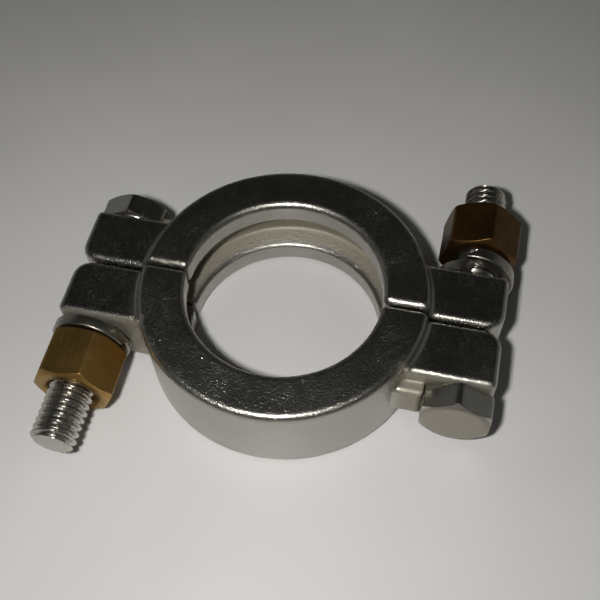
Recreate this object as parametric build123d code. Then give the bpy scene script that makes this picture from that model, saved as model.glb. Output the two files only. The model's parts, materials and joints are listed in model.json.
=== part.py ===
from build123d import *
import os
from math import radians, sqrt, tan

# Two-bolt high-pressure clamp for a pair of sanitary ferrules.
# Millimetres.  Z is the tube axis and the ring stands on Z = 0.  The bolts run
# along Y and the two cast halves meet at the plane Y = 0.  The rear half is the
# front half turned half a revolution about Z.

# cast ring
ring_radius = 31.0
ring_height = 21.0
lip_radius = 21.1
groove_floor_radius = 25.7
groove_mouth = 10.2
flank_angle = 20.0
cast_round = 1.4
lip_round = 0.7
floor_round = 0.9
split_gap = 0.6

# cast lugs
lug_end = 7.0
lug_depth = 13.5
lug_drop = 3.0
lug_corner_round = 3.8
root_round = 1.5
bolt_offset = 39.6
hole_diameter = 10.3

# stop block that keeps the bolt head from turning
stop_height = 8.6
stop_depth = 3.1
stop_round = 1.2
stop_clearance = 0.1

# bolt, 3/8 inch with 16 threads to the inch
bolt_diameter = 9.525
bolt_length = 54.0
bolt_end_chamfer = 1.1
head_flats = 14.29
head_height = 6.0
head_crown_diameter = 13.4
head_face_diameter = 13.2
head_face_height = 0.4
crown_angle = 30.0

# bronze nut
nut_flats = 15.875
nut_height = 11.5
nut_crown_diameter = 14.9
nut_running_clearance = 0.05
nut_countersink = 0.7
left_nut_turn = 66.0
right_nut_turn = 42.0

# spring lock washer, standing open by a different amount on each bolt
washer_bore = 10.2
washer_width = 3.4
washer_thick = 2.4
washer_split = 9.0
left_washer_height = 3.6
right_washer_height = 5.6
left_split_turn = 8.0
right_split_turn = -105.0
right_nut_gap = 1.8
seat_clearance = 0.03

mid_height = ring_height / 2
lug_reach = bolt_offset + lug_end
close_to = 0.01


def ring_half():
    """Half ring of plain rectangular section on the -Y side."""
    width = ring_radius - lip_radius
    section = Pos(lip_radius + width / 2, mid_height) * Rectangle(width, ring_height)
    ring = revolve(Plane.XZ * section, Axis.Z, 360)
    keep = Box(3 * ring_radius, 2 * ring_radius, 2 * ring_height)
    return ring & Pos(0, -ring_radius - split_gap / 2, mid_height) * keep


def lug():
    """Cast ear on the +X side with a wide round on its outer corner at the split.

    It starts halfway through the ring's wall, where the ring swallows its end.
    """
    depth = lug_depth - split_gap / 2
    outline = Pos(lug_reach / 2, -split_gap / 2 - depth / 2) * Rectangle(lug_reach, depth)
    corner = outline.vertices().sort_by(Axis.X)[-2:].sort_by(Axis.Y)[-1]
    outline = fillet(corner, lug_corner_round)
    inside = Cylinder((lip_radius + ring_radius) / 2, 2 * ring_height)
    return Pos(0, 0, lug_drop) * extrude(outline, ring_height - 2 * lug_drop) - inside


def from_axis(edge):
    """Distance of an edge's middle from the ring axis."""
    middle = edge @ 0.5
    return sqrt(middle.X ** 2 + middle.Y ** 2)


def is_root(edge):
    """True for the hollow edges where a lug meets the outside of the ring."""
    middle = edge @ 0.5
    if abs(from_axis(edge) - ring_radius) > close_to:
        return False
    on_level = abs(abs(middle.Z - mid_height) - (mid_height - lug_drop)) < close_to
    on_seat = abs(middle.Y + lug_depth) < close_to
    return on_seat or (on_level and edge.geom_type == GeomType.CIRCLE)


def is_smooth(edge):
    """True for the two upright seams where the wide corner round runs out."""
    middle = edge @ 0.5
    if abs(middle.Z - mid_height) > close_to:
        return False
    at_split = abs(abs(middle.X) - lug_reach + lug_corner_round) < close_to
    at_side = abs(abs(middle.X) - lug_reach) < close_to
    return at_split or (at_side and abs(middle.Y + lug_depth) > close_to)


def rounded_casting():
    """Half ring and both lugs as one casting with every edge rounded."""
    casting = ring_half() + lug() + mirror(lug(), Plane.YZ)
    outer = [edge for edge in casting.edges() if not is_root(edge) and not is_smooth(edge)]
    casting = fillet(outer, cast_round)
    roots = [edge for edge in casting.edges() if is_root(edge)]
    return fillet(roots, root_round)


def stop_block():
    """Small cast block between the ring and the flat of the bolt head."""
    face = bolt_offset - head_flats / 2 - stop_clearance
    front = lug_depth + stop_depth
    start = sqrt(ring_radius ** 2 - front ** 2) - 2 * cast_round
    back = lug_depth - 2 * cast_round
    block = Box(face - start, front - back, stop_height)
    block = Pos((face + start) / 2, -(front + back) / 2, mid_height) * block
    crest = block.edges().group_by(Axis.Y)[0]
    return fillet(crest, stop_round)


def groove_cutter():
    """Ring-shaped cutter of the V groove, with rounded mouth and floor corners."""
    width = ring_radius - lip_radius
    run = groove_floor_radius - lip_radius
    floor = groove_mouth - 2 * run * tan(radians(flank_angle))
    open_side = lip_radius - lip_round
    blank = Pos(lip_radius + width / 2, mid_height) * Rectangle(width, ring_height)
    vee = make_face(Polyline(
        (open_side, mid_height - groove_mouth / 2),
        (lip_radius, mid_height - groove_mouth / 2),
        (groove_floor_radius, mid_height - floor / 2),
        (groove_floor_radius, mid_height + floor / 2),
        (lip_radius, mid_height + groove_mouth / 2),
        (open_side, mid_height + groove_mouth / 2),
        close=True))
    section = blank - vee
    mouth = section.vertices().sort_by(lambda corner: abs(corner.Y - mid_height)
                                       + 9 * abs(corner.X - lip_radius))[:2]
    section = fillet(mouth, lip_round)
    bottom = section.vertices().sort_by(lambda corner: abs(corner.X - groove_floor_radius)
                                        + abs(corner.Y - mid_height) / 9)[:2]
    section = fillet(bottom, floor_round)
    return revolve(Plane.XZ * (blank - section), Axis.Z, 360)


def clamp_half():
    """Finished front half: casting, stop block, V groove and two bolt holes."""
    casting = rounded_casting() + stop_block()
    casting = casting - groove_cutter()
    for side in (-1, 1):
        drill = Cylinder(hole_diameter / 2, 4 * lug_depth)
        casting = casting - Pos(side * bolt_offset, 0, mid_height) * Rot(90, 0, 0) * drill
    return casting


def hexagon_bar(flats, height):
    """Upright six-sided bar, one corner on +Y, standing on Z = 0."""
    outline = RegularPolygon(flats / 2, 6, major_radius=False, rotation=30)
    return extrude(outline, height)


def crowned(bar, flats, height, crown_diameter, both_ends):
    """Turn the corners of a six-sided bar down to a shallow cone at its top end."""
    reach = flats
    fall = (reach - crown_diameter / 2) * tan(radians(crown_angle))
    low = [(0, 0), (crown_diameter / 2, 0), (reach, fall)] if both_ends else [(0, 0), (reach, 0)]
    outline = low + [(reach, height - fall), (crown_diameter / 2, height), (0, height)]
    envelope = revolve(Plane.XZ * make_face(Polyline(*outline, close=True)), Axis.Z, 360)
    return bar & envelope


def bolt():
    """Hexagon bolt on the Z axis: seat of the head at Z = 0, shank upward."""
    head = hexagon_bar(head_flats, head_height - head_face_height)
    head = crowned(head, head_flats, head_height - head_face_height, head_crown_diameter, False)
    head = Pos(0, 0, -head_face_height) * Rot(180, 0, 0) * head
    face = Cylinder(head_face_diameter / 2, head_face_height,
                    align=(Align.CENTER, Align.CENTER, Align.MAX))
    shank = Cylinder(bolt_diameter / 2, bolt_length,
                     align=(Align.CENTER, Align.CENTER, Align.MIN))
    tip = shank.edges().sort_by(Axis.Z)[-1]
    shank = chamfer(tip, bolt_end_chamfer)
    return head + face + shank


def nut(turn):
    """Deep hexagon nut on the Z axis, seat at Z = 0, crowned at both ends."""
    bar = hexagon_bar(nut_flats, nut_height)
    bar = crowned(bar, nut_flats, nut_height, nut_crown_diameter, True)
    bore_radius = bolt_diameter / 2 + nut_running_clearance
    wide = bore_radius + nut_countersink
    core = [(0, 0), (wide, 0), (bore_radius, nut_countersink),
            (bore_radius, nut_height - nut_countersink), (wide, nut_height), (0, nut_height)]
    bore = revolve(Plane.XZ * make_face(Polyline(*core, close=True)), Axis.Z, 360)
    return Rot(0, 0, turn - 90) * (bar - bore)


def lock_washer(height, turn):
    """Split spring washer on the Z axis: a rectangular bar wound one left-hand turn."""
    rise = height - washer_thick
    span = (360 - washer_split) / 360
    radius = (washer_bore + washer_width) / 2
    path = Helix(rise / span, rise, radius, lefthand=True)
    start = Plane(origin=path @ 0, x_dir=(1, 0, 0), z_dir=path % 0)
    coil = sweep(start * Rectangle(washer_width, washer_thick), path, is_frenet=True)
    return Rot(0, 0, turn - washer_split / 2) * (Pos(0, 0, washer_thick / 2) * coil)


def rearward(solid):
    """Set a part made on Z onto the right bolt axis, pointing to the rear."""
    return Pos(bolt_offset, 0, mid_height) * Rot(-90, 0, 0) * solid


def forward(solid):
    """Set a part made on Z onto the left bolt axis, pointing to the front."""
    return Pos(-bolt_offset, 0, mid_height) * Rot(90, 0, 0) * solid


def save(solid, name):
    """Write one piece under its own name."""
    solid.label = name
    export_step(solid, os.path.join("parts", name + ".step"))


os.makedirs("parts", exist_ok=True)

half = clamp_half()
save(half, "front_half")
save(Rot(0, 0, 180) * half, "rear_half")

save(rearward(Pos(0, 0, -lug_depth) * bolt()), "right_bolt")
save(forward(Pos(0, 0, -lug_depth) * bolt()), "left_bolt")

left_washer = lock_washer(left_washer_height, left_split_turn)
right_washer = lock_washer(right_washer_height, right_split_turn)
save(forward(Pos(0, 0, lug_depth + seat_clearance) * left_washer), "left_lock_washer")
save(rearward(Pos(0, 0, lug_depth + seat_clearance) * right_washer), "right_lock_washer")

left_seat = lug_depth + left_washer_height + 2 * seat_clearance
right_seat = lug_depth + right_washer_height + right_nut_gap + 2 * seat_clearance
save(forward(Pos(0, 0, left_seat) * nut(left_nut_turn)), "left_nut")
save(rearward(Pos(0, 0, right_seat) * nut(right_nut_turn)), "right_nut")
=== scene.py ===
import json
from math import cos, pi, radians, sin, sqrt, tan

import bpy
import numpy as np
from mathutils import Matrix, Vector


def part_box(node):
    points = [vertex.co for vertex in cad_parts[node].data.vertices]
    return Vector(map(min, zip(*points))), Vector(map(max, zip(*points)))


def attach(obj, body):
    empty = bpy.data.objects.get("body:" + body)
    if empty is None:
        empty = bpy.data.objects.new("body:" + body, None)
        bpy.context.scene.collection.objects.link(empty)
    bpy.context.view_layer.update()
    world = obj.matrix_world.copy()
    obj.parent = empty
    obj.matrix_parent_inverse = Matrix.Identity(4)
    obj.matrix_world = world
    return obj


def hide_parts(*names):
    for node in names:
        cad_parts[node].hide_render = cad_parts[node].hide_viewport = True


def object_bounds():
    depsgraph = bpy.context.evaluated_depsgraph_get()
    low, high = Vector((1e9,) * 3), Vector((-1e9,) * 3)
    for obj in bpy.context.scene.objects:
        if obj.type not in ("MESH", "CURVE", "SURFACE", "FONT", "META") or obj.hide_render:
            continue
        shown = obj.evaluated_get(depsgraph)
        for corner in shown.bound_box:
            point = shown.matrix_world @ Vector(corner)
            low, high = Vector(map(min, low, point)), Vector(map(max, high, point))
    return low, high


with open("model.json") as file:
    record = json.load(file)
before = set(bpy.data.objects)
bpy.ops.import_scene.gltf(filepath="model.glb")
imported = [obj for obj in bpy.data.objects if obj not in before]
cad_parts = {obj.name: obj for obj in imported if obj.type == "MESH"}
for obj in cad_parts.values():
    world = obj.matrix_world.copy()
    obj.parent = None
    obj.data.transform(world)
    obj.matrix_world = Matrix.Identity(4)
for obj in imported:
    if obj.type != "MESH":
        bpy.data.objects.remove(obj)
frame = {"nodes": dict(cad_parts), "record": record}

# Two-bolt clamp for a pair of tube ferrules: two cast halves, two hexagon bolts,
# two spring lock washers and two bronze nuts.  Metres throughout.  Z is the tube
# axis, the bolts run along Y and the halves meet at Y = 0.

cad_low, cad_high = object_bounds()
record = frame["record"]
joints = {joint["name"]: joint for joint in record["behaviour"]["joints"]}
mounts = {mount["name"]: mount for mount in record["mounts"]}

RIGHT_AXIS = Vector(joints["right_nut_turn"]["pos_m"])
LEFT_AXIS = Vector(joints["left_nut_turn"]["pos_m"])
MID_HEIGHT = RIGHT_AXIS[2]
RING_TOP = cad_high[2]
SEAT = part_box("right_lock_washer")[0][1]

# castings
LIP_RADIUS = mounts["neck_bore"]["dims"]["r_mm"] / 1000
GROOVE_FLOOR = 0.0257
GROOVE_HALF_MOUTH = 0.0051
LUG_START = 0.030

# bolts, 3/8 inch with 16 threads to the inch
PITCH = 0.0254 / 16
THREAD_DEPTH = 0.6134 * PITCH
CREST_FLAT = 1 / 8
ROOT_FLAT = 1 / 4
FLANK_ROUNDING = 0.35
CREST_WEAR = 0.00002
THREAD_LENGTH = 0.0262
THREAD_RUN_IN = 2 * PITCH
SHANK_RADIUS = 0.0047625
END_CHAMFER = 0.0006
END_EASE = 0.0002
HEAD_CROWN = 0.0067
HEAD_DISH = 0.00006
HEAD_FACE = 0.0066
HEAD_FACE_HEIGHT = 0.0004
FACE_EASE = 0.0001

# nuts
NUT_FLATS = 0.015875
NUT_CROWN = 0.00745
NUT_BORE = 0.0048125
NUT_COUNTERSINK = 0.0007
RIGHT_NUT_TURN = radians(42)
LEFT_NUT_TURN = radians(66)

# hexagons of heads and nuts
CROWN_SLOPE = tan(radians(30))
CROWN_EASE = 0.00012
CORNER_EASE = 0.0004
CORNER_WEAR = 0.992

# lock washers
WASHER_WIDTH = 0.0034
WASHER_THICK = 0.0024
WASHER_SPLIT = radians(9)
WASHER_SHEAR = 0.9
WASHER_SQUARENESS = 0.22
RIGHT_WASHER_TURN = radians(-105)
LEFT_WASHER_TURN = radians(8)

# fineness of the surfaces
ROUND_COLUMNS = 168
THREAD_ROWS = 14
WASHER_COLUMNS = 28
WASHER_ROWS = 120

# depths of the castings' finish
EDGE_EASE = 0.0010
RIPPLE_DEPTH = 0.000035
GRAIN_DEPTH = 0.00007
MARK_DEPTH = 0.000022

# view and light
VIEW_AZIMUTH = radians(14.8)
VIEW_ELEVATION = radians(58)
VIEW_ROLL = radians(-2.7)
VIEW_DISTANCE = 0.187
VIEW_WIDTH = radians(36.9)
VIEW_CENTRE = (0.0042, -0.003, RING_TOP)
LAMP_FROM_LENS = Vector((-0.028, 0.004, 0.0))
TABLE_REACH = 6.0
TABLE_GAP = 0.00005


# ---------------------------------------------------------------- surfaces

def fan(rim, following, tip, first):
    """Triangles from a closed rim to the pole at its end; the fan at the first end
    of a surface runs the other way round from the one at its last end."""
    pair = [following, rim] if first else [rim, following]
    return np.stack([*pair, np.full(len(rim), tip)], axis=-1).tolist()


def surface(name, rows, wrap_rows=False, poles=()):
    """A closed skin over a grid of points, rows x columns x 3.

    Columns always join round.  Rows join end to end when wrap_rows is set;
    otherwise the two ends close on the two poles, each with a fan of triangles.
    """
    count, columns, _ = rows.shape
    points = rows.reshape(-1, 3)
    index = np.arange(count * columns).reshape(count, columns)
    right = np.roll(index, -1, axis=1)
    upper = np.roll(index, -1, axis=0)
    upper_right = np.roll(right, -1, axis=0)
    used = count if wrap_rows else count - 1
    quads = np.stack([index, right, upper_right, upper], axis=-1)[:used]
    faces = quads.reshape(-1, 4).tolist()
    for end, pole in zip((0, -1), poles):
        faces += fan(index[end], right[end], len(points), end == 0)
        points = np.vstack([points, pole])
    mesh = bpy.data.meshes.new(name)
    mesh.from_pydata(points.tolist(), [], faces)
    mesh.polygons.foreach_set("use_smooth", np.ones(len(mesh.polygons), dtype=bool))
    mesh.set_sharp_from_angle(angle=radians(50))
    mesh.update()
    piece = bpy.data.objects.new(name, mesh)
    bpy.context.scene.collection.objects.link(piece)
    return piece


def placed(rows, axis_point, rearward, along):
    """Turn points made round Z to run along Y, and set them on a bolt axis.

    Rearward points go (x, y, z) -> (x, z, -y); forward ones (x, y, z) -> (x, -z, y).
    """
    x, y, z = rows[..., 0], rows[..., 1], rows[..., 2]
    run = along + z
    turned = (x, run, -y) if rearward else (x, -run, y)
    return np.stack(turned, axis=-1) + np.array(axis_point)


def soft_least(a, b, blend):
    """The smaller of two lengths; where they differ by less than blend, a parabola
    joins the two."""
    gap = np.clip(0.5 + 0.5 * (b - a) / blend, 0, 1)
    return b * (1 - gap) + a * gap - blend * gap * (1 - gap)


def ring_of(angle, radius, height):
    """Points of closed rounds: x and y are the radius times the cosine and sine of
    the angle.  Radius and height may vary by row and by angle."""
    angle, radius, height = np.broadcast_arrays(angle, radius, height)
    return np.stack([radius * np.cos(angle), radius * np.sin(angle), height], axis=-1)


def round_angles():
    """One row of evenly spaced angles for the rounds of a bolt or nut."""
    return np.linspace(0, 2 * pi, ROUND_COLUMNS, endpoint=False)[None, :]


def hexagon(angle, flats, corner_turn):
    """Distance to the side of a hexagon: half its flats over the cosine of the
    angle from the middle of the nearest side, its corners eased a little."""
    sector = pi / 3
    from_side = np.mod(angle - corner_turn, sector) - sector / 2
    reach = flats / 2 / np.cos(from_side)
    corner = np.full_like(reach, flats / sqrt(3) * CORNER_WEAR)
    return soft_least(reach, corner, CORNER_EASE)


def crown_rows(crown, flats, count):
    """Falls and cone radii of the rows of a turned crown: as the cone widens from
    the crown circle to just past the corners, it falls by its slope."""
    radius = np.linspace(crown, flats / sqrt(3) * 1.01, count)[:, None]
    return (radius - crown) * CROWN_SLOPE, radius


def head_rows(angle, flats, head_height):
    """Bolt head from its end to its seat at height 0: a slightly dished end face, a
    crown where a cone cuts the hexagon, the six sides and the round washer face."""
    side = hexagon(angle, flats, pi / 2)
    face = np.linspace(0.15, 1, 7)[:, None]
    dish = HEAD_DISH * (1 - face ** 6)
    fall, cone = crown_rows(HEAD_CROWN, flats, 22)
    crown = soft_least(side, cone[1:], CROWN_EASE)
    low = -HEAD_FACE_HEIGHT
    levels = np.linspace(fall[-1, 0] - head_height, low - 2 * FACE_EASE, 8)[1:, None]
    return [
        ring_of(angle, face * HEAD_CROWN, dish - head_height),
        ring_of(angle, crown, fall[1:] - head_height),
        ring_of(angle, side, levels),
        ring_of(angle, side - FACE_EASE, low),
        ring_of(angle, HEAD_FACE + 1.5 * FACE_EASE, low),
        ring_of(angle, HEAD_FACE, low + FACE_EASE),
        ring_of(angle, HEAD_FACE - FACE_EASE, 0),
        ring_of(angle, SHANK_RADIUS, 0)]


def thread_rows(angle, start, length):
    """Thread from start to the bolt's end: the bolt radius less a 60 degree groove.

    The groove repeats with height over pitch less turn.  It is flat at crest and
    root, straight between them with a share of smooth step, runs in over two
    pitches, and is cut down by the 45 degree chamfer at the end.
    """
    height = np.arange(start, length, PITCH / THREAD_ROWS)[1:, None]
    height = np.append(height, [[length]], axis=0)
    from_root = np.abs(np.mod(height / PITCH - angle / (2 * pi), 1) - 0.5)
    flank = (1 - CREST_FLAT - ROOT_FLAT) / 2
    groove = np.clip((0.5 - CREST_FLAT / 2 - from_root) / flank, 0, 1)
    smooth = groove * groove * (3 - 2 * groove)
    groove = groove + (smooth - groove) * FLANK_ROUNDING
    run_in = np.clip((height - start) / THREAD_RUN_IN, 0, 1)
    radius = SHANK_RADIUS - CREST_WEAR - THREAD_DEPTH * groove * run_in
    chamfer = SHANK_RADIUS - END_CHAMFER + (length - height) + 0 * angle
    return ring_of(angle, soft_least(radius, chamfer, END_EASE), height)


def bolt_rows(flats, head_height, length):
    """Bolt round Z with the head's seat at height 0 and the shank upward.  Every row
    is a closed round whose radius depends on the angle."""
    angle = round_angles()
    start = length - THREAD_LENGTH
    plain = np.linspace(END_EASE, start, 6)[:, None]
    end_face = np.array([[0.8], [0.5], [0.2]]) * (SHANK_RADIUS - END_CHAMFER)
    parts = head_rows(angle, flats, head_height)
    parts.append(ring_of(angle, SHANK_RADIUS, plain))
    parts.append(thread_rows(angle, start, length))
    parts.append(ring_of(angle, end_face, length))
    return np.concatenate(parts)


def nut_rows(height, turn):
    """Nut round Z on height 0, as a loop of rounds: crown, six sides, crown, end
    face, countersink, bore, countersink and the seat that closes the loop."""
    angle = round_angles()
    side = hexagon(angle, NUT_FLATS, turn)
    fall, cone = crown_rows(NUT_CROWN, NUT_FLATS, 16)
    crown = soft_least(side, cone, CROWN_EASE)
    levels = np.linspace(fall[-1, 0], height - fall[-1, 0], 10)[1:-1, None]
    wide = NUT_BORE + NUT_COUNTERSINK
    face = np.array([[NUT_CROWN - END_EASE], [(NUT_CROWN + wide) / 2], [wide]])
    bore = np.linspace(height - NUT_COUNTERSINK, NUT_COUNTERSINK, 8)[:, None]
    return np.concatenate([
        ring_of(angle, crown, fall),
        ring_of(angle, side, levels),
        ring_of(angle, crown[::-1], height - fall[::-1]),
        ring_of(angle, face, height),
        ring_of(angle, NUT_BORE, bore),
        ring_of(angle, face[::-1], 0)])


def boxed(wave):
    """A sine or cosine with its size raised to a small power, which turns a circle
    nearly square."""
    return np.sign(wave) * np.abs(wave) ** WASHER_SQUARENESS


def washer_rows(inner, outer, height, turn):
    """Spring washer round Z as a bar wound one turn of a left-hand helix.

    Across the bar the outline is a super-ellipse, a box with eased corners.  Along
    it the height climbs evenly as the angle falls, and the turn is sheared with
    height so that the two cut ends lean over as a sheared spring washer's do.
    Gives the rows and the middles of the two cut ends.
    """
    across = np.linspace(0, 2 * pi, WASHER_COLUMNS, endpoint=False)[None, :]
    go = np.linspace(0, 1, WASHER_ROWS)[:, None]
    middle = (outer + inner) / 2
    radius = middle + (outer - inner) / 2 * boxed(np.cos(across))
    lift = WASHER_THICK / 2 * boxed(np.sin(across))
    angle = turn - WASHER_SPLIT / 2 - go * (2 * pi - WASHER_SPLIT) + WASHER_SHEAR * lift / middle
    climb = WASHER_THICK / 2 + go * (height - WASHER_THICK) + lift
    rows = ring_of(angle, radius, climb)
    return rows, rows[[0, -1]].mean(axis=1)


# ------------------------------------------------------------------ shading

class Field:
    """A number at each point of a surface: a shader socket that Python's
    arithmetic turns into Math nodes."""

    def __init__(self, paint, socket):
        self.paint = paint
        self.socket = socket

    def math(self, operation, *others):
        values = dict(enumerate((self, *others)))
        return self.paint.node("ShaderNodeMath", {"operation": operation}, values)

    def size(self):
        """The number without its sign."""
        return self.math("ABSOLUTE")

    def __add__(self, other):
        return self.math("ADD", other)

    def __sub__(self, other):
        return self.math("SUBTRACT", other)

    def __mul__(self, other):
        return self.math("MULTIPLY", other)

    def __rsub__(self, other):
        return (self * -1.0).math("ADD", other)

    def __pow__(self, other):
        return self.math("POWER", other)

    __radd__ = __add__
    __rmul__ = __mul__

    def between(self, low, high):
        """0 below low, 1 above high, and a smooth step between them."""
        settings = {"interpolation_type": "SMOOTHSTEP"}
        return self.paint.node("ShaderNodeMapRange", settings, {0: self, 1: low, 2: high})


class Paint:
    """A material or world being painted, and the one method that adds its nodes."""

    def __init__(self, owner):
        owner.use_nodes = True
        self.tree = owner.node_tree
        self.tree.nodes.clear()

    def node(self, kind, settings=None, inputs=None, output=0):
        """Add a node: its settings first, then each socket's value or link."""
        made = self.tree.nodes.new(kind)
        for key, value in (settings or {}).items():
            if key == "stops":
                self.set_stops(made.color_ramp.elements, value)
            else:
                setattr(made, key, value)
        for key, value in (inputs or {}).items():
            if isinstance(value, Field):
                self.tree.links.new(value.socket, made.inputs[key])
            else:
                made.inputs[key].default_value = value
        return Field(self, made.outputs[output]) if made.outputs else None

    def set_stops(self, ramp, stops):
        """Give a colour ramp its stops; it starts with two of its own."""
        for place, (position, colour) in enumerate(stops):
            stop = ramp[place] if place < 2 else ramp.new(position)
            stop.position = position
            stop.color = (*colour, 1)

    def place(self):
        """Object coordinates, in metres in the frame of the whole clamp."""
        return self.node("ShaderNodeTexCoord", output="Object")

    def noise(self, where, scale, detail=2.0, roughness=0.5):
        inputs = {"Vector": where, "Scale": scale, "Detail": detail, "Roughness": roughness}
        return self.node("ShaderNodeTexNoise", {}, inputs, "Fac")

    def split(self, where):
        """The three numbers of a place."""
        return [self.node("ShaderNodeSeparateXYZ", {}, {0: where}, axis) for axis in range(3)]

    def moved(self, where, step):
        inputs = {"Vector": where, "Location": step}
        return self.node("ShaderNodeMapping", {}, inputs)

    def turned(self, where, angles, scale=(1, 1, 1)):
        inputs = {"Vector": where, "Rotation": angles, "Scale": scale}
        return self.node("ShaderNodeMapping", {}, inputs)

    def blend(self, mask, first, second):
        """Colour first where mask is 0 and second where it is 1."""
        colours = [value if isinstance(value, Field) else (*value, 1) for value in (first, second)]
        inputs = {0: mask, 6: colours[0], 7: colours[1]}
        return self.node("ShaderNodeMix", {"data_type": "RGBA"}, inputs, 2)

    def eased(self, radius):
        """Normals that round off every edge over a radius."""
        return self.node("ShaderNodeBevel", {"samples": 8}, {"Radius": radius})

    def relief(self, height, depth, under=None):
        """Normals of a surface raised by height times depth, in metres."""
        inputs = {"Height": height, "Distance": depth, "Strength": 1.0}
        if under is not None:
            inputs["Normal"] = under
        return self.node("ShaderNodeBump", {}, inputs)

    def finish(self, **inputs):
        """Close the tree with one surface shader; names give its sockets."""
        named = {key.replace("_", " "): value for key, value in inputs.items()}
        shader = self.node("ShaderNodeBsdfPrincipled", {}, named)
        self.node("ShaderNodeOutputMaterial", {}, {"Surface": shader})


def darker(colour, share):
    """A colour with each of its parts brought down to a share."""
    return tuple(value * share for value in colour)


def hairlines(paint, where, angles, scale, width):
    """Fine straight scratches in one direction: stretched noise near its middle value."""
    lane = paint.noise(paint.turned(where, angles, (1.0, 0.035, 1.0)), scale, 1.0)
    away = (lane - 0.5).size()
    patch = paint.noise(paint.turned(where, angles), scale * 0.2, 1.0)
    return (1 - away.between(0, width)) * patch.between(0.52, 0.62)


def crossed_hairlines(paint, where):
    """Scratches in three directions."""
    lines = hairlines(paint, where, (0, 0, 0.5), 520, 0.016)
    lines = lines + hairlines(paint, where, (0, 0, 2.1), 610, 0.016)
    return (lines + hairlines(paint, where, (0.3, 0, 1.2), 560, 0.014)) * 0.5


def squiggles(paint, where, worn):
    """Thin light curls in patches: noise near its middle value, most where worn."""
    curl = 1 - (paint.noise(where, 1250, 1.0, 0.5) - 0.5).size().between(0.004, 0.04)
    return curl * paint.noise(where, 260, 3.0, 0.7).between(0.32, 0.58) * (0.6 + 0.4 * worn)


def left_rough(paint):
    """1 where the casting keeps its blasted skin: in the groove, and in the corners
    round the stop block and the bolt seats.  0 where it was polished."""
    x, y, z = paint.split(paint.place())
    radius = (x * x + y * y) ** 0.5
    level = (z - MID_HEIGHT).size()
    in_mouth = 1 - level.between(GROOVE_HALF_MOUTH - 0.0008, GROOVE_HALF_MOUTH - 0.0001)
    past_lip = radius.between(LIP_RADIUS + 0.0003, LIP_RADIUS + 0.0011)
    in_floor = 1 - radius.between(GROOVE_FLOOR + 0.0005, GROOVE_FLOOR + 0.0011)
    by_lug = x.size().between(LUG_START - 0.004, LUG_START - 0.001)
    by_seat = y.size().between(SEAT - 0.0012, SEAT + 0.0006)
    return in_floor * in_mouth * past_lip + by_lug * by_seat


def cast_steel(name, seed):
    """Tumbled and polished stainless casting: eased edges, ripple, fine grain, light
    squiggles and specks, hairline scratches, and matt beige hollows."""
    material = bpy.data.materials.new(name)
    paint = Paint(material)
    where = paint.moved(paint.place(), (seed, 0.02, 0))
    matt = left_rough(paint)
    lug = paint.split(paint.place())[0].size().between(LUG_START, LUG_START + 0.004)
    worn = paint.noise(where, 75, 3.0, 0.6).between(0.30, 0.62)
    cloud = paint.noise(where, 45, 3.0, 0.6)
    ripple = paint.noise(where, 110, 2.0)
    grain = paint.noise(where, 1900, 2.0, 0.55)
    specks = paint.noise(where, 1500, 1.0, 0.5).between(0.57, 0.66) * (0.6 + 0.4 * worn)
    squiggle = squiggles(paint, where, worn)
    lines = crossed_hairlines(paint, where)
    polished = paint.blend(cloud.between(0.3, 0.7), (0.355, 0.345, 0.31), (0.41, 0.40, 0.365))
    polished = paint.blend(squiggle * 0.3, polished, (0.62, 0.61, 0.58))
    beige = paint.blend(grain, (0.25, 0.225, 0.175), (0.35, 0.32, 0.255))
    rough = 0.26 + cloud * 0.04 + worn * 0.02 + squiggle * 0.08 + lines * 0.05 - lug * 0.03
    rough = rough + matt * (0.50 - rough)
    wavy = paint.relief(ripple, RIPPLE_DEPTH, paint.eased(EDGE_EASE))
    grainy = paint.relief(grain * (0.85 + 0.15 * worn) * (1 - lug * 0.7), GRAIN_DEPTH, wavy)
    marks = squiggle * 0.5 + specks * (1 - lug * 0.5) - lines * 0.4
    marked = paint.relief(marks, MARK_DEPTH, grainy)
    colour = paint.blend(matt, polished, beige)
    paint.finish(Base_Color=colour, Metallic=1 - matt * 0.55, Roughness=rough, Normal=marked)
    return material


def head_ends(paint):
    """1 on the flat ends of the two bolt heads, 0 on the rest of the bolts: the
    heads stand where x and y have opposite signs, and the threads where they agree."""
    x, y, _ = paint.split(paint.place())
    outer = y.size().between(SEAT + 0.0054, SEAT + 0.0057)
    return outer * (1 - (x * y).between(-0.0003, 0))


def bright_steel(name, tone, roughness):
    """Machined or rolled stainless: slightly mottled, with a few light marks, and
    duller on the pressed ends of the bolt heads."""
    material = bpy.data.materials.new(name)
    paint = Paint(material)
    where = paint.place()
    pressed = head_ends(paint)
    cloud = paint.noise(where, 220, 3.0, 0.6)
    grain = paint.noise(where, 2200, 2.0)
    marks = hairlines(paint, where, (0.8, 0.2, 0.4), 900, 0.03)
    colour = paint.blend(cloud.between(0.35, 0.65), darker(tone, 0.86), tone)
    colour = paint.blend(pressed, colour, (0.33, 0.305, 0.26))
    rough = roughness + cloud * 0.08 + grain * 0.04 + marks * 0.06 + pressed * 0.16
    fine = paint.relief(grain * 0.6 + marks * 0.4 + cloud * 2.0, 0.000004)
    paint.finish(Base_Color=colour, Metallic=1.0, Roughness=rough, Normal=fine)
    return material


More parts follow.
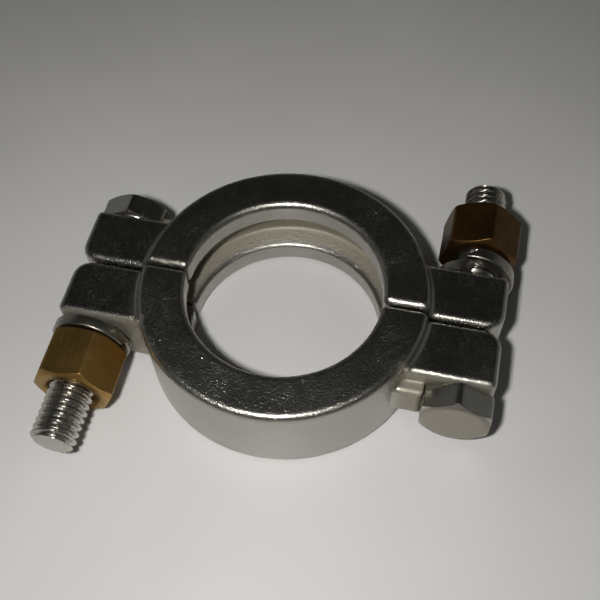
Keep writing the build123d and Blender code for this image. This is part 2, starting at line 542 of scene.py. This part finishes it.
def bronze(name, light, dark):
    """Dull machined bronze: brown with paler rubbed places and fine tool marks."""
    material = bpy.data.materials.new(name)
    paint = Paint(material)
    where = paint.place()
    cloud = paint.noise(where, 180, 4.0, 0.6)
    grain = paint.noise(where, 1800, 2.0)
    spots = paint.noise(where, 500, 3.0).between(0.6, 0.72)
    marks = hairlines(paint, where, (0, 0.9, 0.1), 1100, 0.04)
    colour = paint.blend(cloud.between(0.3, 0.7), dark, light)
    colour = paint.blend(spots * 0.4, colour, darker(dark, 0.7))
    rough = 0.32 + cloud * 0.10 + grain * 0.06 + marks * 0.06
    fine = paint.relief(grain + marks * 0.6 + cloud * 0.5, 0.00001)
    paint.finish(Base_Color=colour, Metallic=0.95, Roughness=rough, Normal=fine)
    return material


# ------------------------------------------------------------------- pieces

def dress(piece, node, body, material):
    """Stand a finished piece in for its CAD node, on its body, in its material."""
    piece.data.materials.append(material)
    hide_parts(node)
    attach(piece, body)


def make_bolts(material):
    """Both bolts, threaded from under the nut to the end."""
    low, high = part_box("right_bolt")
    head_height = -low[1] - SEAT
    length = high[1] + SEAT
    rows = bolt_rows(high[0] - low[0], head_height, length)
    ends = np.array([[0, 0, HEAD_DISH - head_height], [0, 0, length]])
    for name, rearward, point, body in (
            ("right_bolt", True, RIGHT_AXIS, "front"),
            ("left_bolt", False, LEFT_AXIS, "rear")):
        skin = placed(rows, point, rearward, -SEAT)
        poles = placed(ends, point, rearward, -SEAT)
        piece = surface(name + "_threaded", skin, poles=poles)
        dress(piece, name, body, material)


def nearest_face(name, rearward):
    """How far the seated face of a nut or washer stands from the plane of the split."""
    low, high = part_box(name)
    return low[1] if rearward else -high[1]


def make_nuts(brown, shaded_brown):
    """Both nuts, each turned as it stopped; the right one gets a darker copy of the bronze,
    painted shade for the dimmer light it stands in.
    """
    for name, rearward, point, turn, material in (
            ("right_nut", True, RIGHT_AXIS, RIGHT_NUT_TURN, shaded_brown),
            ("left_nut", False, LEFT_AXIS, LEFT_NUT_TURN, brown)):
        low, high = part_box(name)
        rows = nut_rows(high[1] - low[1], turn)
        skin = placed(rows, point, rearward, nearest_face(name, rearward))
        piece = surface(name + "_crowned", skin, wrap_rows=True)
        dress(piece, name, name, material)


def make_washers(material):
    """Both spring washers, standing open as the CAD ones do."""
    for name, rearward, point, turn, body in (
            ("right_lock_washer", True, RIGHT_AXIS, RIGHT_WASHER_TURN, "rear"),
            ("left_lock_washer", False, LEFT_AXIS, LEFT_WASHER_TURN, "front")):
        low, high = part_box(name)
        outer = (high[2] - low[2]) / 2
        rows, ends = washer_rows(outer - WASHER_WIDTH, outer, high[1] - low[1], turn)
        seat = nearest_face(name, rearward)
        skin = placed(rows, point, rearward, seat)
        poles = placed(ends, point, rearward, seat)
        piece = surface(name + "_sprung", skin, poles=poles)
        dress(piece, name, body, material)


def dress_castings():
    """The CAD castings keep their shape and get the polished finish."""
    for place, name in enumerate(("front_half", "rear_half")):
        material = cast_steel(name + "_polish", 0.3 * place)
        for slot in frame["nodes"][name].material_slots:
            slot.material = material


# -------------------------------------------------------------------- stage

def make_floor():
    """Pale matt table top just under the clamp."""
    level = cad_low[2] - TABLE_GAP
    corners = [(x * TABLE_REACH, y * TABLE_REACH, level)
               for x, y in ((-1, -1), (1, -1), (1, 1), (-1, 1))]
    mesh = bpy.data.meshes.new("table_top")
    mesh.from_pydata(corners, [], [(0, 1, 2, 3)])
    floor = bpy.data.objects.new("table_top", mesh)
    bpy.context.scene.collection.objects.link(floor)
    material = bpy.data.materials.new("table_white")
    paint = Paint(material)
    soft = paint.noise(paint.place(), 14, 3.0)
    colour = paint.blend(soft.between(0.3, 0.7), (0.70, 0.695, 0.69), (0.75, 0.745, 0.74))
    paint.finish(Base_Color=colour, Roughness=0.45)
    mesh.materials.append(material)


def make_camera():
    """Camera on a sphere round the view's centre; its azimuth turns it to the right
    of the front, and its roll turns it about its own line of sight."""
    data = bpy.data.cameras.new("view")
    data.sensor_width = 36
    data.lens = data.sensor_width / 2 / tan(VIEW_WIDTH / 2)
    data.clip_start = 0.01
    flat = cos(VIEW_ELEVATION)
    back = Vector((sin(VIEW_AZIMUTH) * flat, -cos(VIEW_AZIMUTH) * flat, sin(VIEW_ELEVATION)))
    aim = (-back).to_track_quat("-Z", "Y").to_matrix().to_4x4()
    spot = Matrix.Translation(Vector(VIEW_CENTRE) + back * VIEW_DISTANCE)
    camera = bpy.data.objects.new("view", data)
    camera.matrix_world = spot @ aim @ Matrix.Rotation(VIEW_ROLL, 4, "Z")
    bpy.context.scene.collection.objects.link(camera)
    bpy.context.scene.camera = camera
    return camera


def lamp(name, place, size, power, colour=(1, 1, 1)):
    """A rectangular area lamp at place, facing the middle of the table."""
    data = bpy.data.lights.new(name, "AREA")
    data.shape = "RECTANGLE"
    data.size, data.size_y = size
    data.energy = power
    data.color = colour
    lit = bpy.data.objects.new(name, data)
    lit.location = place
    lit.rotation_euler = (-Vector(place)).to_track_quat("-Z", "Y").to_euler()
    bpy.context.scene.collection.objects.link(lit)


def make_room():
    """Dim room as the world: pale below the horizon, as the table is, dark above."""
    world = bpy.data.worlds.new("dim_room")
    bpy.context.scene.world = world
    paint = Paint(world)
    way = paint.node("ShaderNodeTexCoord", output="Generated")
    height = paint.node("ShaderNodeSeparateXYZ", {}, {0: way}, 2)
    stops = [(0.0, (0.60, 0.60, 0.59)),
             (0.50, (0.28, 0.28, 0.27)),
             (0.56, (0.13, 0.13, 0.125)),
             (0.66, (0.036, 0.037, 0.033)),
             (0.88, (0.006, 0.006, 0.005)),
             (0.96, (0.010, 0.010, 0.009))]
    colour = paint.node("ShaderNodeValToRGB", {"stops": stops}, {0: height * 0.5 + 0.5})
    glow = paint.node("ShaderNodeBackground", {}, {0: colour, 1: 1.0})
    paint.node("ShaderNodeOutputWorld", {}, {0: glow})


def make_lamps(camera):
    """A small bright lamp close to the left of the lens, and weak wide lamps above
    and at both sides that keep the other views readable."""
    lamp("ceiling_soft", (0.08, -0.50, 1.0), (1.3, 0.7), 0.24)
    lamp("side_soft_1", (-0.9, 0.3, 0.4), (0.7, 0.5), 0.10)
    lamp("side_soft_3", (0.9, 0.3, 0.4), (0.7, 0.5), 0.10)
    beside_lens = camera.matrix_world @ LAMP_FROM_LENS
    lamp("lamp_beside_view", beside_lens, (0.012, 0.012), 0.30, (1.0, 0.985, 0.96))


make_bolts(bright_steel("bolt_bright", (0.50, 0.485, 0.44), 0.20))
# The second, much darker bronze given to the right nut is painted shade: the same bronze toned
# down for the weaker light there.
make_nuts(bronze("nut_bronze", (0.40, 0.245, 0.075), (0.31, 0.185, 0.052)),
          bronze("nut_bronze_painted_shade", (0.15, 0.082, 0.026), (0.10, 0.052, 0.016)))
make_washers(bright_steel("washer_satin", (0.40, 0.385, 0.34), 0.24))
dress_castings()
make_floor()
make_room()
make_lamps(make_camera())
bpy.context.scene.view_settings.view_transform = "Standard"
